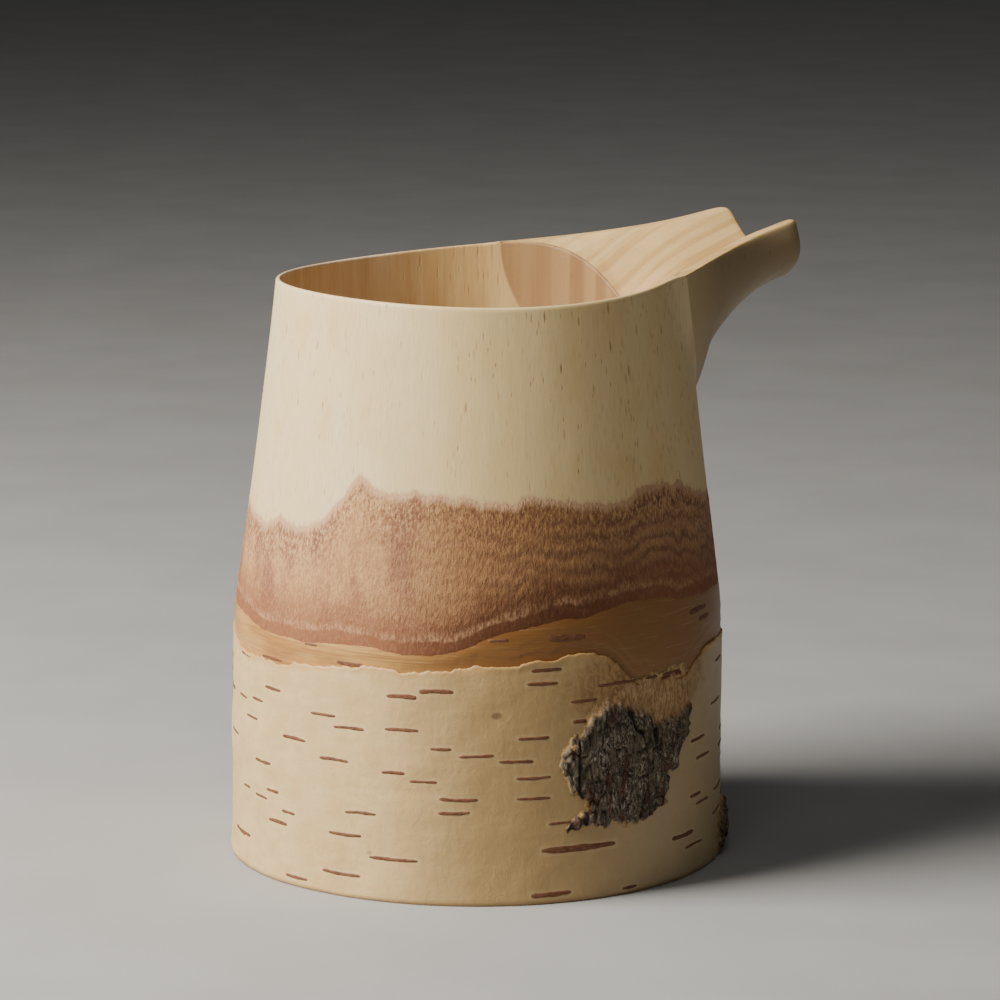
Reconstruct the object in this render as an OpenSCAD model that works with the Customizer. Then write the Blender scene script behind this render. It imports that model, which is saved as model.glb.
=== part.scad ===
// Spouted vessel hollowed from a short birch log.
// The bark is left on the lower part of the log, a carved taper runs up to a thin lip,
// and a spout piece is let into a half-round notch in the rim.
// Origin: centre of the base, on the axis of the log. +Z is up, and the spout points along +X.

/* [Log] */
// Diameter over the bark at the base
base_d = 150; // [125:1:185]
// Height at which the carved taper starts
bark_h = 68; // [50:1:85]
// Outer diameter of the wood at the lowest point of the rim
rim_d = 123; // [100:1:140]
// Height of the lowest point of the rim
rim_h = 174.4; // [150:0.1:215]
// Distance of that lowest point behind the axis
rim_low_back = 23; // [0:1:40]
// Radius of the long upward sweep of the rim, seen from the side
rim_sweep_r = 590; // [400:5:900]
// Thickness of the lip at the lowest point of the rim
lip_t = 1.5; // [1.2:0.1:3]

/* [Bark] */
// Thickness of the inner bark
inner_bark_t = 5; // [2:0.1:6]
// Thickness of the brown cork layer
cork_t = 1; // [0.5:0.1:2]
// Thickness of the white outer bark
white_bark_t = 0.6; // [0.3:0.1:1.2]
// Height of the strip below the taper where the white bark is peeled off
peel_h = 2; // [0:0.5:20]
// How far the dark rough patches stand proud of the white bark
rough_proud = 2.4; // [1:0.1:4]

/* [Bottom] */
// Thickness of the bottom disc
bottom_t = 14; // [10:0.5:25]
// Height of the groove in the wall above the base
groove_z = 5; // [3:0.5:8]
// Height of the tongue round the edge of the disc
tongue_h = 4; // [2:0.5:6]
// Depth of the groove
groove_depth = 3; // [1:0.5:4]
// Clearance of the tongue above and at its edge
tongue_clear = 0.2; // [0.1:0.05:0.5]

/* [Spout] */
// Distance from the axis to the tip of the spout
spout_reach = 103; // [90:1:125]
// Width of the spout over its sides where it leaves the rim
spout_root_w = 92; // [74:1:98]
// Width of the spout over its sides at the tip
spout_tip_w = 42; // [32:1:56]
// Height of the spout's outside at the tip
spout_tip_h = 19; // [16:0.5:26]
// Outward bulge of the spout's sides below the rim
spout_bulge = 2.6; // [0:0.1:4]
// Wood between the spout's sides and the round joint
joint_margin = 1.3; // [0.5:0.1:3]
// Thickness of the rim at the tip
tip_rim_t = 5.5; // [3:0.5:8]
// Depth of the channel at the tip
channel_tip_depth = 10; // [6:0.5:13]
// Depth of the channel where it leaves the bore
channel_root_depth = 26; // [15:0.5:30]

/* [Hidden] */
$fn = 180;
over = 1;            // how far a cutting shape runs past what it cuts
headroom = 12;       // height of the turned blank above the highest rim
rim_lift = 0.5;      // how far the edge points of a ring lie above the rim that trims them

// Log and taper
base_r = base_d / 2;
white_bark_h = bark_h - peel_h;
rim_r = rim_d / 2;
bore_r = rim_r - lip_t;
cork_r = base_r - white_bark_t;
inner_bark_r = cork_r - cork_t;
wood_r = inner_bark_r - inner_bark_t;
taper = (base_r - rim_r) / (rim_h - bark_h);
function taper_z(r) = bark_h + (base_r - r) / taper;
function taper_r(z) = base_r - (z - bark_h) * taper;

// Rim, seen from the side: one long arc
function rim_z(x) = rim_h + rim_sweep_r - sqrt(pow(rim_sweep_r, 2) - pow(x + rim_low_back, 2));
blank_top = rim_z(spout_reach) + headroom;

// Spout and its round joint
root_hw = spout_root_w / 2;
tip_hw = spout_tip_w / 2;
root_x = sqrt(pow(rim_r, 2) - pow(root_hw, 2));
joint_r = root_hw + joint_margin;
joint_z = rim_z(root_x) - joint_margin;
keel_root_z = joint_z - root_hw;
keel_tip_z = rim_z(spout_reach) - spout_tip_h;
stations = 18;
ring_steps = 36;
root_round = 2.2;    // superellipse power of the section at the root: nearly an ellipse
tip_round = 5;       // and at the tip: a box with round corners
keel_round = 1.5;    // power of the underside's curve, seen from the side
side_ease = 1.25;    // how late the sides swing in towards the tip
bulge_reach = 1.2;   // how early the bulge ends below the rim: 1 is at the keel
bulge_ease = 3;      // how soon the bulge starts along the spout

function station_x(i) = root_x + (spout_reach + over - root_x) * i / (stations - 1);
function along(x) = min(1, (x - root_x) / (spout_reach - root_x));
function past_bore(x) = min(1, max(0, (x - bore_r) / (spout_reach - bore_r)));
function mix(a, b, t) = a + (b - a) * t;
function side_hw(x) = mix(root_hw, tip_hw, pow(sin(90 * along(x)), side_ease));
function keel_z(x) =
    mix(keel_root_z, keel_tip_z, pow(1 - pow(1 - past_bore(x), keel_round), 1 / keel_round));
function section_power(x) = mix(root_round, tip_round, past_bore(x));
function bulge(x, s) =
    spout_bulge * min(1, bulge_ease * along(x)) * sin(180 * min(1, bulge_reach * s));

// Channel: a wide flare with a deeper middle at the bore, and a plain round trough at the tip
function channel_hw(x) = side_hw(x) - mix(lip_t, tip_rim_t, along(x));
function channel_depth(x) = mix(channel_root_depth, channel_tip_depth, past_bore(x));
function channel_inner_power(x) = mix(1.5, 2, past_bore(x));
function channel_outer_power(x) = mix(1.6, 1, past_bore(x));

// Faces of a solid skinned over a row of closed rings with the same number of points
function skin_faces(rings, points) = concat(
    [[for (j = [points - 1:-1:0]) j]],
    [for (i = [0:rings - 2], j = [0:points - 1], half = [0, 1]) let (
            k = (j + 1) % points,
            here = i * points,
            next = (i + 1) * points
        ) half == 0 ? [here + j, here + k, next + k] : [here + j, next + k, next + j]],
    [[for (j = [0:points - 1]) (rings - 1) * points + j]]
);

// One ring of the spout's outside, open side up, closed above the rim
function spout_ring(x) = let (
        hw = side_hw(x), top = rim_z(x), depth = top - keel_z(x), p = 2 / section_power(x)
    ) concat(
        [[x, hw, top + headroom]],
        [for (k = [0:ring_steps]) let (
                a = 180 * k / ring_steps,
                s = pow(abs(sin(a)), p),
                c = sign(cos(a)) * pow(abs(cos(a)), p)
            ) [x, (hw + bulge(x, s)) * c, s > 0.001 ? top - depth * s : top + rim_lift]],
        [[x, -hw, top + headroom]]
    );

// One ring of the channel, from side to side along its floor, closed above the rim
function channel_ring(x) = let (
        hw = channel_hw(x), top = rim_z(x), depth = channel_depth(x),
        p = channel_inner_power(x), q = channel_outer_power(x)
    ) concat(
        [[x, hw + headroom / 2, top + headroom]],
        [for (k = [0:ring_steps]) let (
                u = 1 - 2 * k / ring_steps,
                floor_depth = depth * pow(max(0, 1 - pow(abs(u), p)), q)
            ) [x, hw * u, abs(u) < 0.999 ? top - floor_depth : top + rim_lift]],
        [[x, -hw - headroom / 2, top + headroom]]
    );

module spout_outside() {
    rings = [for (i = [0:stations - 1]) spout_ring(station_x(i))];
    polyhedron([for (r = rings) each r], skin_faces(stations, len(rings[0])));
}

module channel_cut() {
    rings = [for (i = [0:stations - 1]) channel_ring(station_x(i))];
    polyhedron([for (r = rings) each r], skin_faces(stations, len(rings[0])));
}

// Everything above the rim's sweep
module above_rim() {
    translate([-rim_low_back, 0, rim_h + rim_sweep_r])
        rotate([90, 0, 0])
            cylinder(r = rim_sweep_r, h = 2 * base_d, center = true, $fn = 720);
}

// Everything past the tip of the spout
module past_tip() {
    translate([spout_reach, -base_r, keel_root_z])
        cube([base_r, base_d, base_d]);
}

// The turned outside of the log's wood, as one solid
module wood_blank() {
    rotate_extrude()
        polygon([[0, 0], [wood_r, 0], [wood_r, taper_z(wood_r)], [taper_r(blank_top), blank_top],
                 [0, blank_top]]);
}

// Round billet that shapes both the root of the spout and its notch in the wall
module joint_billet() {
    translate([0, 0, joint_z])
        rotate([0, 90, 0])
            cylinder(r = joint_r, h = base_d);
}

module bore() {
    translate([0, 0, -over])
        cylinder(r = bore_r, h = blank_top + 2 * over);
}

// Ring of bark from one radius to another, cut off on top by the carved taper
module bark_ring(inner_r, outer_r) {
    rotate_extrude()
        polygon([[inner_r, 0], [outer_r, 0], [outer_r, taper_z(outer_r)], [inner_r, taper_z(inner_r)]]);
}

// Rough patches: outlines laid against the bark, sideways distance and height
front_patch_turn = -85;
front_patch = [[-12, 61], [-20, 52], [-25, 42], [-23, 34], [-18, 28], [-23, 22], [-8, 21],
               [10, 23], [12, 32], [20, 42], [25, 56], [20, 63], [4, 64]];
side_patch_turn = -36;
side_patch = [[-17, 0], [-15, 9], [-7, 17], [4, 19], [13, 13], [18, 0]];

// Prism that runs out from the axis through an outline on the bark
module patch_prism(turn, outline) {
    rotate([0, 0, turn])
        rotate([90, 0, 90])
            linear_extrude(base_d)
                polygon(outline);
}

module rough_patch(turn, outline) {
    intersection() {
        difference() {
            cylinder(r = base_r + rough_proud, h = bark_h);
            translate([0, 0, -over])
                cylinder(r = cork_r, h = bark_h + 2 * over);
        }
        patch_prism(turn, outline);
    }
}

module wall() {
    color("#d9cba8")
    difference() {
        wood_blank();
        bore();
        translate([0, 0, groove_z])
            cylinder(r = bore_r + groove_depth, h = tongue_h + tongue_clear);
        joint_billet();
        above_rim();
    }
}

module spout() {
    color("#cdb287")
    difference() {
        union() {
            intersection() {
                wood_blank();
                joint_billet();
            }
            spout_outside();
        }
        bore();
        channel_cut();
        above_rim();
        past_tip();
    }
}

module bottom_disc() {
    color("#cbb890")
    union() {
        cylinder(r = bore_r, h = bottom_t);
        translate([0, 0, groove_z])
            cylinder(r = bore_r + groove_depth - tongue_clear, h = tongue_h);
    }
}

module inner_bark() {
    color("#a9794f")
    bark_ring(wood_r, inner_bark_r);
}

module cork_layer() {
    color("#b5803f")
    bark_ring(inner_bark_r, cork_r);
}

module white_bark() {
    color("#d8c8a4")
    difference() {
        cylinder(r = base_r, h = white_bark_h);
        translate([0, 0, -over])
            cylinder(r = cork_r, h = white_bark_h + 2 * over);
        patch_prism(front_patch_turn, front_patch);
        patch_prism(side_patch_turn, side_patch);
    }
}

module rough_patch_front() {
    color("#4a3f33")
    rough_patch(front_patch_turn, front_patch);
}

module rough_patch_side() {
    color("#40362c")
    rough_patch(side_patch_turn, side_patch);
}

wall();
spout();
bottom_disc();
inner_bark();
cork_layer();
white_bark();
rough_patch_front();
rough_patch_side();
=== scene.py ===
"""Spouted vessel hollowed from a birch log: its detailed meshes, materials, floor, lights and camera.

Lengths inside the shape functions are millimetres. Angles go round the log's axis from +X, where the
spout is. mesh_object() turns millimetres into the frame's metres.
"""
import math

import bpy
import numpy as np
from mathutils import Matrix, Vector


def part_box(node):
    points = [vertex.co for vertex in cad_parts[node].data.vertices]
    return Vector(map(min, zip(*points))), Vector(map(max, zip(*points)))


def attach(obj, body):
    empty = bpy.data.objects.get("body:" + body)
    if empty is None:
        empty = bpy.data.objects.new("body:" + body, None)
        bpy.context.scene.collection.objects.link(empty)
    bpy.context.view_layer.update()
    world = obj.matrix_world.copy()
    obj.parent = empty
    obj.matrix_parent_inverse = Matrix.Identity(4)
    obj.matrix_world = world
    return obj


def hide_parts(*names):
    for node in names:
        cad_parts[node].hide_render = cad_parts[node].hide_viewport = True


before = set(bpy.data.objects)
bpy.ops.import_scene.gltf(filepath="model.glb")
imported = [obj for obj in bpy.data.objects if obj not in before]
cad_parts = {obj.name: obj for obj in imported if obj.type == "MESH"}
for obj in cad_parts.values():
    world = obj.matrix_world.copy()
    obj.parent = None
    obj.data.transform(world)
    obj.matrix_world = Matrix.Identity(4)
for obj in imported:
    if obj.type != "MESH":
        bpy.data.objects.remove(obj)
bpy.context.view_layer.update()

MM = 0.001

# ---------------- sizes taken from the CAD frame


def highest_mm(node):
    """The far corner of a CAD node's box."""
    return np.array(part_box(node)[1]) / MM


BARK_R = highest_mm("white_bark")[0]
INNER_BARK_R = highest_mm("inner_bark")[0]
CORK_R = highest_mm("cork_layer")[0]
BOTTOM_TOP = highest_mm("bottom_disc")[2]
SPOUT_REACH, _, TIP_TOP = highest_mm("spout")

# ---------------- sizes of the visible shape

RIM_R = 61.5            # outside of the wood at the lowest point of the rim
LIP = 1.5               # thickness of the lip
BORE_R = RIM_R - LIP
TAPER_START = 68.0      # height at which the carved taper starts
RIM_LOW_BACK = 23.0     # how far behind the axis the rim is lowest
RIM_SWEEP_R = 590.0     # radius of the rim's sweep, seen from the side
RIM_LOW = TIP_TOP - RIM_SWEEP_R + math.sqrt(RIM_SWEEP_R ** 2 - (SPOUT_REACH + RIM_LOW_BACK) ** 2)
TAPER = (BARK_R - RIM_R) / (RIM_LOW - TAPER_START)

SPOUT_ROOT_HW = 46.0     # half width of the spout over its sides, where it leaves the rim
SPOUT_TIP_HW = 21.0      # and at its tip
SPOUT_TIP_HEIGHT = 19.0  # height of the spout's outside at the tip
SPOUT_BULGE = 2.6        # outward bulge of its sides below the rim
JOINT_MARGIN = 1.3       # wood between the spout's sides and the round joint
TIP_RIM = 5.5            # thickness of the rim at the tip
CHANNEL_TIP_DEPTH = 10.0
CHANNEL_ROOT_DEPTH = 26.0
CHANNEL_SHARPNESS = 0.5  # the channel is more V-shaped half way along
SPOUT_FILLET = 9.0       # width of the blend between the spout and the log
HALVINGS = 26            # of the search for the spout's surface, down to far below a micrometre


def rim_z(x):
    """Height of the rim, which is one long arc seen from the side."""
    return RIM_LOW + RIM_SWEEP_R - np.sqrt(RIM_SWEEP_R ** 2 - (x + RIM_LOW_BACK) ** 2)


ROOT_X = math.sqrt(RIM_R ** 2 - SPOUT_ROOT_HW ** 2)
JOINT_R = SPOUT_ROOT_HW + JOINT_MARGIN
JOINT_Z = float(rim_z(ROOT_X)) - JOINT_MARGIN
KEEL_ROOT_Z = JOINT_Z - SPOUT_ROOT_HW
KEEL_TIP_Z = TIP_TOP - SPOUT_TIP_HEIGHT

# ---------------- small mathematics


def mix(a, b, t):
    return a + (b - a) * t


def smooth(value, low, high):
    """0 below low, 1 above high, and an S-curve between."""
    t = np.clip((value - low) / (high - low), 0, 1)
    return t * t * (3 - 2 * t)


def soft_max(a, b, width):
    blend = np.maximum(width - np.abs(a - b), 0) / width
    return np.maximum(a, b) + blend * blend * width / 4


def soft_min(a, b, width):
    return -soft_max(-a, -b, width)


def lattice(ix, iy, iz, seed):
    """A repeatable number from 0 to 1 for each whole-numbered point."""
    parts = [(ix, 73856093), (iy, 19349663), (iz, 83492791)]
    mixed = np.full(ix.shape, (seed * 40503 + 12345) & 0xFFFFFFFF, np.uint64)
    for value, prime in parts:
        mixed ^= (value.astype(np.int64) & 0xFFFFFFFF).astype(np.uint64) * np.uint64(prime)
        mixed &= np.uint64(0xFFFFFFFF)
        mixed ^= mixed >> np.uint64(13)
        mixed = (mixed * np.uint64(1274126177)) & np.uint64(0xFFFFFFFF)
    mixed ^= mixed >> np.uint64(16)
    return mixed.astype(float) / 0xFFFFFFFF


def noise(points, size, seed):
    """Smooth noise from -1 to 1. size is the length of one feature along x, y and z."""
    scaled = points / np.asarray(size, float)
    cell = np.floor(scaled)
    part = scaled - cell
    part = part ** 3 * (part * (part * 6 - 15) + 10)
    cell = cell.astype(np.int64)
    total = np.zeros(points.shape[:-1])
    for corner in range(8):
        step = (corner & 1, corner >> 1 & 1, corner >> 2)
        weight = np.ones(points.shape[:-1])
        for axis in range(3):
            weight = weight * (part[..., axis] if step[axis] else 1 - part[..., axis])
        total += weight * lattice(*[cell[..., axis] + step[axis] for axis in range(3)], seed)
    return 2 * total - 1


def turn_from(angle, theta):
    """The turn from one angle to others, from -pi to pi."""
    return (theta - angle + np.pi) % (2 * np.pi) - np.pi


def full_turn(count):
    return np.linspace(0, 2 * np.pi, count, endpoint=False)


def around(theta, radius, z):
    """Points on or off the log at an angle, a radius and a height."""
    theta, radius, z = np.broadcast_arrays(theta, radius, z)
    return np.stack([radius * np.cos(theta), radius * np.sin(theta), z], axis=-1)


def height_round_log(points, blur, seed, jags):
    """A height for every angle, through given (degrees, mm) points.

    blur rounds its corners, in degrees. jags are (height, width) pairs of ragged noise in mm.
    """
    table = np.radians(np.arange(0, 360, 0.1))
    angles, heights = zip(*sorted((angle % 360, height) for angle, height in points))
    values = np.interp(np.degrees(table), angles, heights, period=360)
    reach = int(30 * blur)
    offsets = np.arange(-reach, reach + 1)
    weights = np.exp(-0.5 * (offsets / (10 * blur)) ** 2)
    values = sum(w * np.roll(values, k) for w, k in zip(weights, offsets)) / weights.sum()
    place = around(table, BARK_R, 0.0)
    for octave, (high, wide) in enumerate(jags):
        values = values + high * noise(place, (wide, wide, wide), seed + octave)
    return lambda theta: np.interp(theta % (2 * np.pi), table, values, period=2 * np.pi)


# ---------------- where one layer gives way to the next

WOOD_EDGE = [(171, 105), (180, 108), (191, 107), (197, 111), (201, 116), (204, 121), (206, 126),
             (209, 123), (214, 120), (223, 121), (232, 119), (244, 118), (251, 119), (262, 118),
             (272, 116), (278, 117), (283, 119), (290, 119), (298, 118), (314, 112), (330, 110),
             (350, 113), (8, 116), (20, 111), (40, 109), (60, 115), (74, 119), (90, 113), (110, 112),
             (125, 118), (140, 111), (155, 108)]
CORK_EDGE = [(165, 77), (176, 75), (187, 74), (200, 75), (210, 76), (220, 74), (233, 76), (239, 79),
             (243, 81), (251, 83), (265, 85), (275, 87), (286, 87), (298, 84), (312, 84), (340, 81),
             (10, 76), (35, 78), (60, 81), (85, 79), (110, 76), (140, 79)]
WHITE_EDGE = [(169, 66), (180, 66), (187, 66), (191, 67), (200, 68), (215, 70), (223, 69), (231, 70),
              (239, 71), (247, 71), (250, 73), (254, 72), (259, 74), (267, 73), (270, 71), (273, 67),
              (276, 63), (285, 61), (294, 62), (298, 65), (301, 67), (307, 69), (320, 68), (335, 66),
              (350, 69), (20, 66), (45, 68), (70, 70), (95, 67), (120, 68), (145, 70)]

wood_edge = height_round_log(WOOD_EDGE, 1.0, 11, [(0.7, 5), (0.7, 2.0), (0.5, 0.9)])
cork_edge = height_round_log(CORK_EDGE, 1.6, 21, [(0.5, 9), (0.3, 3), (0.12, 1.0)])
white_edge = height_round_log(WHITE_EDGE, 1.2, 31, [(0.5, 8), (0.45, 2.4), (0.25, 0.9)])

# ---------------- outside of the log

LEAN_ANGLE = math.radians(150)   # the trunk bulges a little to this side near the base
LEAN = 1.2
TAPER_SAG = 0.5                  # the carved taper is slightly hollow
BASE_FLARE = 0.8                 # and the foot spreads a little


def log_radius(theta, z):
    """Radius of the smoothed outside of the log: bark below, carved taper above."""
    trunk = BARK_R - 0.5 + BASE_FLARE * np.exp(-z / 9)
    carved = BARK_R - (z - TAPER_START) * TAPER
    carved = carved - TAPER_SAG * np.sin(np.pi * np.clip((z - TAPER_START) / (RIM_LOW - TAPER_START), 0, 1))
    lean = LEAN * np.cos(theta - LEAN_ANGLE) * np.clip(1 - (z - 30) / 130, 0, 1)
    return soft_min(trunk, carved, 1.6) + lean


def bark_radius(theta, z):
    """Outside of the white bark, with its dents and wrinkles."""
    flat = log_radius(theta, z)
    place = around(theta, BARK_R, z)
    waves = 0.30 * noise(place, (26, 26, 18), 41) + 0.16 * noise(place, (9, 9, 7), 42)
    wrinkles = 0.05 * noise(place, (5, 5, 1.6), 43) + 0.03 * noise(place, (1.5, 1.5, 5), 44)
    return flat + waves + wrinkles


# ---------------- the spout


def along(x):
    """0 where the spout leaves the rim and 1 at its tip."""
    return np.clip((x - ROOT_X) / (SPOUT_REACH - ROOT_X), 0, 1)


def past_bore(x):
    """0 at the bore and 1 at the spout's tip."""
    return np.clip((x - BORE_R) / (SPOUT_REACH - BORE_R), 0, 1)


def side_hw(x):
    """Half width of the spout over its sides, at the rim."""
    return mix(SPOUT_ROOT_HW, SPOUT_TIP_HW, np.sin(np.pi / 2 * along(x)) ** 1.25)


def keel_z(x):
    """Height of the spout's underside in its middle."""
    rise = (1 - (1 - past_bore(x)) ** 1.56) ** (1 / 1.56)
    return mix(KEEL_ROOT_Z, KEEL_TIP_Z, rise)


def spout_hw(x, z):
    """Half width of the spout's outside at a height."""
    top = rim_z(x)
    down = np.clip((top - z) / (top - keel_z(x)), 0, 1)
    power = mix(2.2, 5.0, past_bore(x))
    bulge = SPOUT_BULGE * np.minimum(1, 3 * along(x)) * np.sin(np.pi * np.minimum(1, 1.2 * down))
    return (side_hw(x) + bulge) * (1 - down ** power) ** (1 / power)


def wood_radius(theta, z):
    """Outside of the carved wood: the log with the spout growing out of it."""
    log = log_radius(theta, z)
    facing = np.broadcast_to(np.cos(theta), log.shape)
    near = np.zeros(log.shape)
    far = np.full(log.shape, SPOUT_REACH)
    slope = np.abs(np.sin(theta)) / np.maximum(facing, 0.1)
    for _ in range(HALVINGS):
        middle = (near + far) / 2
        inside = (spout_hw(middle, z) > middle * slope) & (z > keel_z(middle))
        near = np.where(inside, middle, near)
        far = np.where(inside, far, middle)
    spout = np.where(facing > 0.1, near / np.maximum(facing, 0.1), 0)
    return soft_max(spout, log, SPOUT_FILLET)


def channel_hw(x):
    """Half width of the channel between the spout's two rims."""
    return side_hw(x) - mix(LIP + 0.6, TIP_RIM, along(x))


def spout_top(x, y):
    """Height of the spout's upper surface: the rim, and the channel between its two sides."""
    share = np.clip(np.abs(y) / channel_hw(x), 0, 1)
    t = past_bore(x)
    depth = mix(CHANNEL_ROOT_DEPTH, CHANNEL_TIP_DEPTH, t)
    valley = mix(1.5, 1.9, t) - CHANNEL_SHARPNESS * np.sin(np.pi * t)
    return rim_z(x) - depth * (1 - share ** valley) ** mix(1.6, 1.0, t)


# ---------------- meshes


def new_object(name, data):
    thing = bpy.data.objects.new(name, data)
    bpy.context.scene.collection.objects.link(thing)
    return thing


def mesh_object(name, points, faces, replaced=()):
    """A smooth-shaded object from points in mm, riding on the vessel's only body."""
    mesh = bpy.data.meshes.new(name)
    mesh.from_pydata((np.asarray(points).reshape(-1, 3) * MM).tolist(), [], faces)
    mesh.polygons.foreach_set("use_smooth", [True] * len(mesh.polygons))
    mesh.update()
    piece = new_object(name, mesh)
    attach(piece, "root")
    if replaced:
        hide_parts(*replaced)
    return piece


def ring_faces(columns, rows, round_trip):
    """Quads between neighbouring columns, each of which is a closed loop of rows.

    The columns run anticlockwise and each loop goes up the outside and down the inside.
    """
    first = np.arange(columns if round_trip else columns - 1)
    second = (first + 1) % columns
    row = np.arange(rows)
    above = (row + 1) % rows
    quads = np.stack([
        first[:, None] * rows + row[None],
        second[:, None] * rows + row[None],
        second[:, None] * rows + above[None],
        first[:, None] * rows + above[None],
    ], axis=-1).reshape(-1, 4).tolist()
    if not round_trip:
        quads.append(list(range(rows)))
        quads.append([(columns - 1) * rows + k for k in range(rows - 1, -1, -1)])
    return quads


def store(piece, name, values):
    """Keeps one number per vertex for the materials."""
    attribute = piece.data.attributes.new(name, "FLOAT", "POINT")
    attribute.data.foreach_set("value", np.asarray(values, np.float32).ravel())


def resample(line, count):
    """count points at even steps along a line of points."""
    lengths = np.concatenate([[0], np.cumsum(np.linalg.norm(np.diff(line, axis=0), axis=1))])
    steps = np.linspace(0, lengths[-1], count)
    return np.stack([np.interp(steps, lengths, line[:, k]) for k in range(line.shape[1])], axis=-1)


def joint_columns(angles):
    """Angle outside, angle in the bore, and height of the round joint, at angles round the joint."""
    lift = JOINT_MARGIN * smooth(np.abs(angles), math.radians(70), math.radians(90))
    z = JOINT_Z - JOINT_R * np.cos(angles) + lift
    y = JOINT_R * np.sin(angles)
    outside = np.arcsin(y / log_radius(0, z))
    for _ in range(12):
        outside = np.arcsin(y / wood_radius(outside, z))
    return outside, np.arcsin(y / BORE_R), z


SKIN = 0.12             # how far each layer dips under the next where they meet flush
JOINT_COLUMNS = 71      # columns of the wall up one side of the round joint
RIM_COLUMNS = 259       # and from there to the back of the rim
WALL_ROWS = 86


def build_wall():
    """The hollowed log, notched for the spout. Its outside is bare wood only above the bark."""
    joint_angles = np.radians(np.linspace(0, 90, JOINT_COLUMNS))
    outside, inside, top = joint_columns(joint_angles)
    round_rim = np.linspace(0, 1, RIM_COLUMNS + 1)[1:]
    outside = np.concatenate([outside, mix(outside[-1], np.pi, round_rim)])
    inside = np.concatenate([inside, mix(inside[-1], np.pi, round_rim)])
    rim_x = wood_radius(outside, RIM_LOW) * np.cos(outside)
    top = np.concatenate([top, rim_z(rim_x)[len(top):]])
    # the far half mirrors the near half
    outside, inside, top = [np.concatenate([half, sign * half[-2:0:-1]])
                            for half, sign in ((outside, -1), (inside, -1), (top, 1))]

    edge = wood_edge(outside)
    lip_r = wood_radius(outside, top)
    half_lip = (lip_r - BORE_R) / 2
    hidden = log_radius(outside, edge) - 0.6
    loops = [around(outside, hidden, z) for z in (0.0, edge * 0.5, edge - 2.0)]
    # the lip is rounded, from a few columns past the joint on
    column = np.arange(len(outside))
    past_joint = np.minimum(column, len(outside) - column) - JOINT_COLUMNS
    roundness = half_lip * smooth(past_joint, 0, 10)
    for share in np.linspace(0, 1, WALL_ROWS):
        z = mix(edge - 1.2, top - roundness, share)
        depth = SKIN * (1 - smooth(z, edge - 1.2, edge + 1.2))
        place = around(outside, RIM_R, z)
        knife = 0.05 * noise(place, (7, 7, 22), 51) + 0.02 * noise(place, (2.2, 2.2, 14), 52)
        fade = smooth(top - z, 0, 6)
        loops.append(around(outside, wood_radius(outside, z) - depth + knife * fade, z))
    for step in np.linspace(0, np.pi, 9)[1:-1]:
        radius = BORE_R + half_lip * (1 + np.cos(step))
        theta = mix(outside, inside, (1 - np.cos(step)) / 2)
        loops.append(around(theta, radius, top - roundness * (1 - np.sin(step))))
    for fall in np.concatenate([[0, 0.003], np.linspace(0.012, 1, 44)]):
        z = mix(top - roundness, BOTTOM_TOP - 4, fall)
        place = around(inside, BORE_R, z)
        gouge = 0.06 * noise(place, (6, 6, 30), 53) * smooth(fall, 0, 0.05)
        loops.append(around(inside, BORE_R + gouge, z))
    loops.append(around(inside, BORE_R, 0.0))
    points = np.stack(loops, axis=1)
    wall = mesh_object("wall_wood", points, ring_faces(len(outside), len(loops), True),
                       ["wall"])
    store(wall, "above_bark", points[..., 2] - edge[:, None])
    return wall


OUTER_ROWS = 96     # points up the spout's outside in one loop
TOP_ROWS = 110      # points over its rim and down into its channel


def spout_section(outside, inside, joint_top):
    """One loop of the spout from the joint up its outside, in over the top, and down its bore face."""
    z = np.linspace(joint_top, TIP_TOP + 1, 420)
    outer = around(outside, wood_radius(outside, z), z)
    over = z >= spout_top(outer[:, 0], outer[:, 1])
    last = max(1, int(np.argmax(over)))
    outer = outer[:last + 1]
    edge_r = math.hypot(outer[-1, 0], outer[-1, 1])
    radii = np.linspace(edge_r, BORE_R, 300)
    theta = mix(inside, outside, (radii - BORE_R) / max(edge_r - BORE_R, 0.01))
    top = around(theta, radii, 0.0)
    top[:, 2] = spout_top(top[:, 0], top[:, 1])
    outer[-1, 2] = top[0, 2]
    bore = around(inside, BORE_R, np.linspace(top[-1, 2], joint_top, 60))
    joint = np.linspace(bore[-1], outer[0], 6)
    return np.concatenate([resample(outer, OUTER_ROWS), resample(top, TOP_ROWS)[1:],
                           resample(bore, 44)[1:], joint[1:-1]])


def relax(points, strength, rounds):
    """Evens out a grid of points towards their four neighbours, by a strength for each point."""
    for _ in range(rounds):
        inner = points[1:-1, :]
        near = (points[:-2] + points[2:] + np.roll(inner, 1, axis=1) + np.roll(inner, -1, axis=1)) / 4
        points[1:-1, :] = inner + (near - inner) * strength[1:-1, :, None]
    return points


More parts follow.
